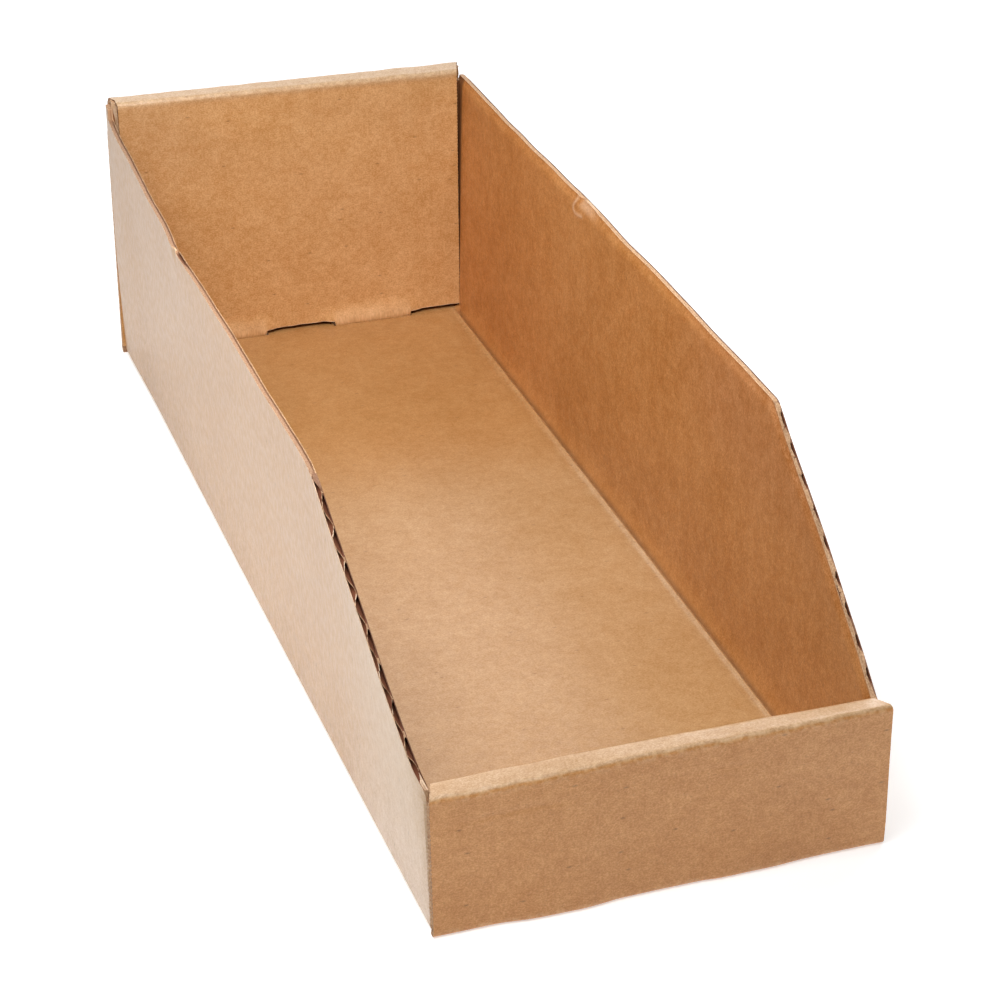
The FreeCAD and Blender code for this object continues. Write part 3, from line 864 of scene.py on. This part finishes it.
    def tone(name, count):
        res = np.zeros((count, T + 2))
        if name not in ("m0", "m1"):
            res[:] = -0.60
            return res
        # the back panel's cut sides, mostly on the roll-over and the inner panel, are darkened: painted shade of the
        # narrow gaps beside the walls
        if part == "back":
            res[outer_run] = np.array([0.05, 0.05, 0.0, 0.0, -0.05, -0.05, -0.05, -0.1, -0.3, -0.6, -0.7, -0.6])
            res[roll_run] = np.array([-0.30, -0.35, -0.5, -0.6, -0.6, -0.5, -0.5, -0.4, -0.3, -0.2, -0.2, -0.2])
            res[inner_run] = -0.58 + 0.14 * nib[inner_run][:, None]
        else:
            res[outer_run] = np.array([-0.15, -0.3, -0.35, -0.3, -0.25, -0.2, -0.15, -0.1, -0.05, -0.1, -0.25, -0.45])
            res[outer_run] += 0.16 * nib[outer_run][:, None]
            res[roll_run] = 0.05
            res[inner_run] = -0.3
        return res
    return sheet(part, O, I, U, rim_k, wear, tone=tone, tint_out=tint_o)


end_sheet("front", -1, FRONT_H, 0.75, 1.6)
end_sheet("back", 1, BACK_H, 1.6, 0.75)

# ---------------------------------------------------------------- corner flaps, between the panels of each end
for side in (-1, 1):
    for end, top in ((-1, FRONT_H - 3.5), (1, BACK_H - (3.5 if side < 0 else 7.0))):
        xs = np.linspace(HW - BOARD + 0.01, HW - BOARD - 60, 13)
        zs = np.concatenate([np.linspace(3.6, top - 2, 12), [top - 1.0, top]])
        O = np.zeros((len(zs), len(xs), 3))
        I = np.zeros_like(O)
        for a, z in enumerate(zs):
            for b, x in enumerate(xs):
                O[a, b] = (side * x, end * END_Y, z)
                I[a, b] = (side * x, end * (END_Y - BOARD + 0.0), z)
        U = np.stack(np.broadcast_arrays(xs[None, :] * side * 1.0 + side * 300, zs[:, None]), -1)
        r = np.random.default_rng(33 + side + 5 * end)

        def flap_rim(name, base):
            off = np.zeros((base.shape[0], T, 3))
            if name == "m1":
                off[:, :, 2] = np.array([0.0, 0.02, -0.15, -0.4, -0.6, -0.6, -0.4, -0.15, 0.02, 0.0])[None, :]
            return off
        # at the back the flap shows beside the inner panel: in the light at the left, in deep shade at the right
        seen = smooth((np.abs(O[..., 0]) - 66.0) / 4.0) * (end > 0)
        sheet("flap", O, I, U, flap_rim, tint=seen * (0.50 if side < 0 else -0.88))

# ---------------------------------------------------------------- Blender mesh
points = np.concatenate(store.points) * 0.001
mesh = bpy.data.meshes.new("bin_box_board")
mesh.from_pydata([tuple(p) for p in points], [], store.faces)
loops = len(mesh.loops)
assert loops == len(store.flat), (loops, len(store.flat))
a = mesh.attributes.new("flat", "FLOAT_VECTOR", "CORNER")
a.data.foreach_set("vector", np.array(store.flat, np.float32).ravel())
a = mesh.attributes.new("cut", "FLOAT", "CORNER")
a.data.foreach_set("value", np.array(store.kind, np.float32))
a = mesh.attributes.new("wear", "FLOAT", "CORNER")
a.data.foreach_set("value", np.array(store.wear, np.float32))

a = mesh.attributes.new("painted_light", "FLOAT_VECTOR", "CORNER")
a.data.foreach_set("vector", np.array(store.painted_light, np.float32).ravel())
a = mesh.attributes.new("tint", "FLOAT", "CORNER")
a.data.foreach_set("value", np.array(store.tint, np.float32))

import bmesh
bm = bmesh.new()
bm.from_mesh(mesh)
bmesh.ops.dissolve_degenerate(bm, dist=1e-6, edges=bm.edges)
bmesh.ops.recalc_face_normals(bm, faces=bm.faces)
open_edges = sum(1 for e in bm.edges if len(e.link_faces) != 2)
tri_count = sum(len(f.verts) - 2 for f in bm.faces)
thin = sum(1 for f in bm.faces if f.calc_area() < 1e-12)
print("open edges", open_edges, "triangles", tri_count, "no-area faces", thin)
bm.to_mesh(mesh)
bm.free()
mesh.shade_smooth()
mesh.set_sharp_from_angle(angle=math.radians(38))
board = bpy.data.objects.new("bin_box_board", mesh)
bpy.context.scene.collection.objects.link(board)


# ---------------------------------------------------------------- material: unprinted kraft liner
KRAFT = (0.521, 0.285, 0.118)        # the liner outside
INNER = (0.825, 0.747, 0.619)        # the liner inside, as a share of that
IOR, ROUGH = 1.5, 0.35


def kraft():
    mat = bpy.data.materials.new("kraft_board")
    mat.use_nodes = True
    nt = mat.node_tree
    for n in list(nt.nodes):
        nt.nodes.remove(n)
    N = lambda kind, **kw: _set(nt.nodes.new(kind), kw)

    def _set(node, kw):
        for key, val in kw.items():
            setattr(node, key, val)
        return node
    L = nt.links.new
    out = N("ShaderNodeOutputMaterial")
    bsdf = N("ShaderNodeBsdfPrincipled")
    L(bsdf.outputs[0], out.inputs["Surface"])
    flat = N("ShaderNodeAttribute", attribute_name="flat")
    cut = N("ShaderNodeAttribute", attribute_name="cut")
    wear = N("ShaderNodeAttribute", attribute_name="wear")
    tint = N("ShaderNodeAttribute", attribute_name="tint")
    painted_light_node = N("ShaderNodeAttribute", attribute_name="painted_light")

    def mapped(sx, sy, sz, off=(0, 0, 0)):
        mp = N("ShaderNodeMapping")
        mp.inputs["Scale"].default_value = (sx, sy, sz)
        mp.inputs["Location"].default_value = off
        L(flat.outputs["Vector"], mp.inputs["Vector"])
        return mp.outputs[0]

    def noise(vec, scale, detail=2.0, rough=0.5, dist=0.0):
        n = N("ShaderNodeTexNoise", noise_dimensions="2D")
        n.inputs["Scale"].default_value = scale
        n.inputs["Detail"].default_value = detail
        n.inputs["Roughness"].default_value = rough
        n.inputs["Distortion"].default_value = dist
        L(vec, n.inputs["Vector"])
        return n.outputs["Fac"]

    def span(val, a, b, c, d):
        m = N("ShaderNodeMapRange")
        m.inputs["From Min"].default_value = a
        m.inputs["From Max"].default_value = b
        m.inputs["To Min"].default_value = c
        m.inputs["To Max"].default_value = d
        L(val, m.inputs["Value"])
        return m.outputs[0]

    def math_(op, a, b=None, c=None):
        m = N("ShaderNodeMath", operation=op)
        for i, v in enumerate((a, b, c)):
            if v is None:
                continue
            if isinstance(v, (int, float)):
                m.inputs[i].default_value = v
            else:
                L(v, m.inputs[i])
        return m.outputs[0]

    def mix(fac, a, b, blend="MIX"):
        m = N("ShaderNodeMix", data_type="RGBA", blend_type=blend)
        m.inputs["Factor"].default_value = 1.0
        if isinstance(fac, (int, float)):
            m.inputs["Factor"].default_value = fac
        else:
            L(fac, m.inputs["Factor"])
        for sock, v in ((m.inputs[6], a), (m.inputs[7], b)):
            if isinstance(v, tuple):
                sock.default_value = v + (1.0,)
            else:
                L(v, sock)
        return m.outputs[2]

    # tone: broad clouds, the sheet's uneven formation, grain and single fibres
    side = N("ShaderNodeSeparateXYZ")
    L(flat.outputs["Vector"], side.inputs[0])
    calm = span(side.outputs[0], -120.0, -72.0, 0.45, 1.0)
    cloud = span(noise(mapped(1, 1, 1), 0.016, 1.0), 0.3, 0.7, -1.0, 1.0)
    patchy = span(noise(mapped(0.9, 1.0, 1, (3, 1, 0)), 0.10, 1.0, 0.8), 0.3, 0.7, -1.0, 1.0)
    blot = span(noise(mapped(0.85, 1.0, 1), 0.40, 1.0, 0.9), 0.3, 0.7, -1.0, 1.0)
    grain = span(noise(mapped(0.85, 1.1, 1, (7, 3, 0)), 1.55, 1.0, 0.9), 0.3, 0.7, -1.0, 1.0)
    tone = math_("MULTIPLY", cloud, 0.05)
    tone = math_("MULTIPLY_ADD", patchy, 0.065, tone)
    tone = math_("MULTIPLY_ADD", blot, 0.095, tone)
    tone = math_("MULTIPLY_ADD", grain, 0.200, tone)
    # the left outer face is smoother
    tone = math_("MULTIPLY", tone, calm)
    tone = math_("MULTIPLY", tone, span(side.outputs[0], 72.0, 84.0, 1.0, 1.6))
    k = math_("ADD", 0.5, tone)
    body = N("ShaderNodeValToRGB")
    steps = ((0.0, (0.730, 0.600, 0.380)), (0.25, (0.860, 0.785, 0.650)), (0.5, (1.0, 1.0, 1.0)),
             (0.75, (1.155, 1.245, 1.44)), (1.0, (1.32, 1.52, 1.98)))
    while len(body.color_ramp.elements) < len(steps):
        body.color_ramp.elements.new(0.5)
    for e, (at, f) in zip(body.color_ramp.elements, steps):
        e.position = at
        e.color = tuple(c * g for c, g in zip(KRAFT, f)) + (1,)
    L(k, body.inputs[0])
    xyz = N("ShaderNodeSeparateXYZ")
    L(flat.outputs["Vector"], xyz.inputs[0])
    colour = mix(span(xyz.outputs[2], 0.0, 37.0, 0.0, 1.0), body.outputs[0], mix(1.0, body.outputs[0], INNER, "MULTIPLY"))
    # painted light and shade: each panel's factor multiplies the colour
    colour = mix(1.0, colour, painted_light_node.outputs["Vector"], "MULTIPLY")

    # specks of dark fibre and a few pale ones
    def specks(scale, width, thr, off, stretch=0.55):
        v = N("ShaderNodeTexVoronoi", feature="F1", voronoi_dimensions="2D")
        v.inputs["Scale"].default_value = scale
        v.inputs["Randomness"].default_value = 1.0
        L(mapped(stretch, 1.0, 1, off), v.inputs["Vector"])
        near = span(v.outputs["Distance"], 0.0, width, 1.0, 0.0)
        pick = N("ShaderNodeSeparateColor")
        L(v.outputs["Color"], pick.inputs[0])
        chosen = math_("GREATER_THAN", pick.outputs[0], thr)
        return math_("MULTIPLY", near, chosen)
    dark_specks = specks(0.15, 0.07, 0.80, (11, 5, 0), 0.4)
    tiny = specks(0.55, 0.16, 0.78, (3, 50, 0), 0.7)
    pale = specks(0.40, 0.15, 0.70, (60, 17, 0), 0.7)
    colour = mix(math_("MULTIPLY", dark_specks, 0.65), colour, (0.16, 0.065, 0.022))
    colour = mix(math_("MULTIPLY", tiny, 0.42), colour, (0.28, 0.12, 0.04))
    colour = mix(math_("MULTIPLY", pale, 0.10), colour, (0.80, 0.56, 0.34))
    # worn creases, and on the roll-over's outer crease a painted highlight: paler, broken up by noise
    broken = span(noise(mapped(1, 1, 1, (5, 9, 0)), 0.45, 1.0, 0.7), 0.44, 0.64, 0.10, 1.0)
    colour = mix(math_("MULTIPLY", math_("MULTIPLY", wear.outputs["Fac"], broken), 0.36), colour, (0.86, 0.60, 0.36))
    # cut edges: raw fibre, paler and uneven; inside the flutes: plain medium
    is_cut = span(cut.outputs["Fac"], 0.0, 1.0, 0.0, 1.0)
    edge_tone = span(noise(mapped(1, 1, 1, (2, 2, 0)), 1.2, 1.0, 0.7), 0.3, 0.7, 0.0, 1.0)
    edge_col = mix(edge_tone, (0.40, 0.21, 0.10), (0.62, 0.40, 0.23))
    colour = mix(is_cut, colour, edge_col)
    inside = span(cut.outputs["Fac"], 1.0, 2.0, 0.0, 1.0)
    colour = mix(inside, colour, (0.17, 0.050, 0.018))
    # scuffed places, with painted light and painted shade: paler and darker by the tint
    uneven = span(noise(mapped(1, 1, 1, (8, 8, 0)), 1.0, 1.0, 0.7), 0.3, 0.7, 0.65, 1.25)
    paler = math_("MULTIPLY", span(tint.outputs["Fac"], 0.0, 1.0, 0.0, 1.0), uneven)
    darker = span(tint.outputs["Fac"], 0.0, -1.0, 0.0, 1.0)
    colour = mix(paler, colour, (0.82, 0.64, 0.47))
    colour = mix(darker, colour, (0.14, 0.05, 0.02))
    L(colour, bsdf.inputs["Base Color"])
    # surface
    rough = span(noise(mapped(0.7, 1.2, 1, (9, 1, 0)), 0.4, 0.0), 0.3, 0.7, ROUGH - 0.04, ROUGH + 0.04)
    # torn fibre at the cuts is duller than the liners
    L(math_("MULTIPLY_ADD", is_cut, 0.4, rough), bsdf.inputs["Roughness"])
    bsdf.inputs["IOR"].default_value = IOR
    relief = noise(mapped(0.85, 1.1, 1, (1, 4, 0)), 0.6, 2.0, 0.75)
    bump = N("ShaderNodeBump")
    bump.inputs["Strength"].default_value = 0.4
    bump.inputs["Distance"].default_value = 0.00010
    L(relief, bump.inputs["Height"])
    L(bump.outputs[0], bsdf.inputs["Normal"])
    return mat


mat = kraft()
mesh.materials.append(mat)
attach(board, "root")
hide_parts("bin_box")

# ---------------------------------------------------------------- floor, light and camera
floor_mesh = bpy.data.meshes.new("table")
n = 24
ring = [(3.5 * math.cos(2 * math.pi * i / 64), 3.5 * math.sin(2 * math.pi * i / 64), 0.0) for i in range(64)]
floor_mesh.from_pydata(ring, [], [tuple(range(64))])
floor = bpy.data.objects.new("table", floor_mesh)
bpy.context.scene.collection.objects.link(floor)
fm = bpy.data.materials.new("table_white")
fm.use_nodes = True
b = fm.node_tree.nodes["Principled BSDF"]
b.inputs["Base Color"].default_value = (0.75, 0.75, 0.75, 1)
b.inputs["Roughness"].default_value = 0.9
b.inputs["Specular IOR Level"].default_value = 0.1
b.inputs["Emission Color"].default_value = (1, 1, 1, 1)
b.inputs["Emission Strength"].default_value = 0.503
floor_mesh.materials.append(fm)

world = bpy.data.worlds.new("studio")
bpy.context.scene.world = world
world.use_nodes = True
bg = world.node_tree.nodes["Background"]
bg.inputs["Color"].default_value = (1, 1, 1, 1)
bg.inputs["Strength"].default_value = 0.01


def area(name, place, aim, size, power, colour=(1, 1, 1)):
    lamp = bpy.data.lights.new(name, "AREA")
    lamp.shape = "RECTANGLE"
    lamp.size, lamp.size_y = size
    lamp.energy = power
    lamp.color = colour
    o = bpy.data.objects.new(name, lamp)
    o.location = place
    d = Vector(aim) - Vector(place)
    o.rotation_euler = d.to_track_quat("-Z", "Y").to_euler()
    bpy.context.scene.collection.objects.link(o)
    return o


# soft boxes: behind, behind right, in front; and small ones close above the bin
area("behind", (0, 1.5407, 0.7684), (0, 0, 0.05), (1.2, 1.2), 7.3)
area("behind_right", (1.0895, 1.0895, 0.7684), (0, 0, 0.05), (1.2, 1.2), 17.3)
for name, x, y, power in (("near_left_front", -0.3, -0.35, 2.783), ("near_front", 0.0, -0.35, 1.16), ("near_back", 0.0, 0.15, 0.704)):
    area(name, (x, y, 0.65), (x, y, 0.0), (0.35, 0.35), power)
area("back_fill", (-0.12, -0.05, 0.40), (0.0, 0.22, 0.07), (0.2, 0.2), 1.49)

cam = bpy.data.cameras.new("camera")
cam.sensor_width = 36.0
cam.sensor_fit = "HORIZONTAL"
cam.lens = 3020.2 * 36.0 / 1000.0
cam.clip_start, cam.clip_end = 0.05, 30.0
co = bpy.data.objects.new("camera", cam)
right = Vector((0.950453, -0.310814, -0.005719)).normalized()
down = Vector((-0.148481, -0.43773, -0.886762)).normalized()
fwd = right.cross(down).normalized()
down = fwd.cross(right).normalized()
m = Matrix(((right.x, -down.x, -fwd.x), (right.y, -down.y, -fwd.y), (right.z, -down.z, -fwd.z))).to_4x4()
m.translation = Vector((-0.29077, -0.96263, 0.54978))
co.matrix_world = m
bpy.context.scene.collection.objects.link(co)
bpy.context.scene.camera = co

vs = bpy.context.scene.view_settings
vs.view_transform = "Standard"
vs.look = "None"
vs.exposure = 0.0
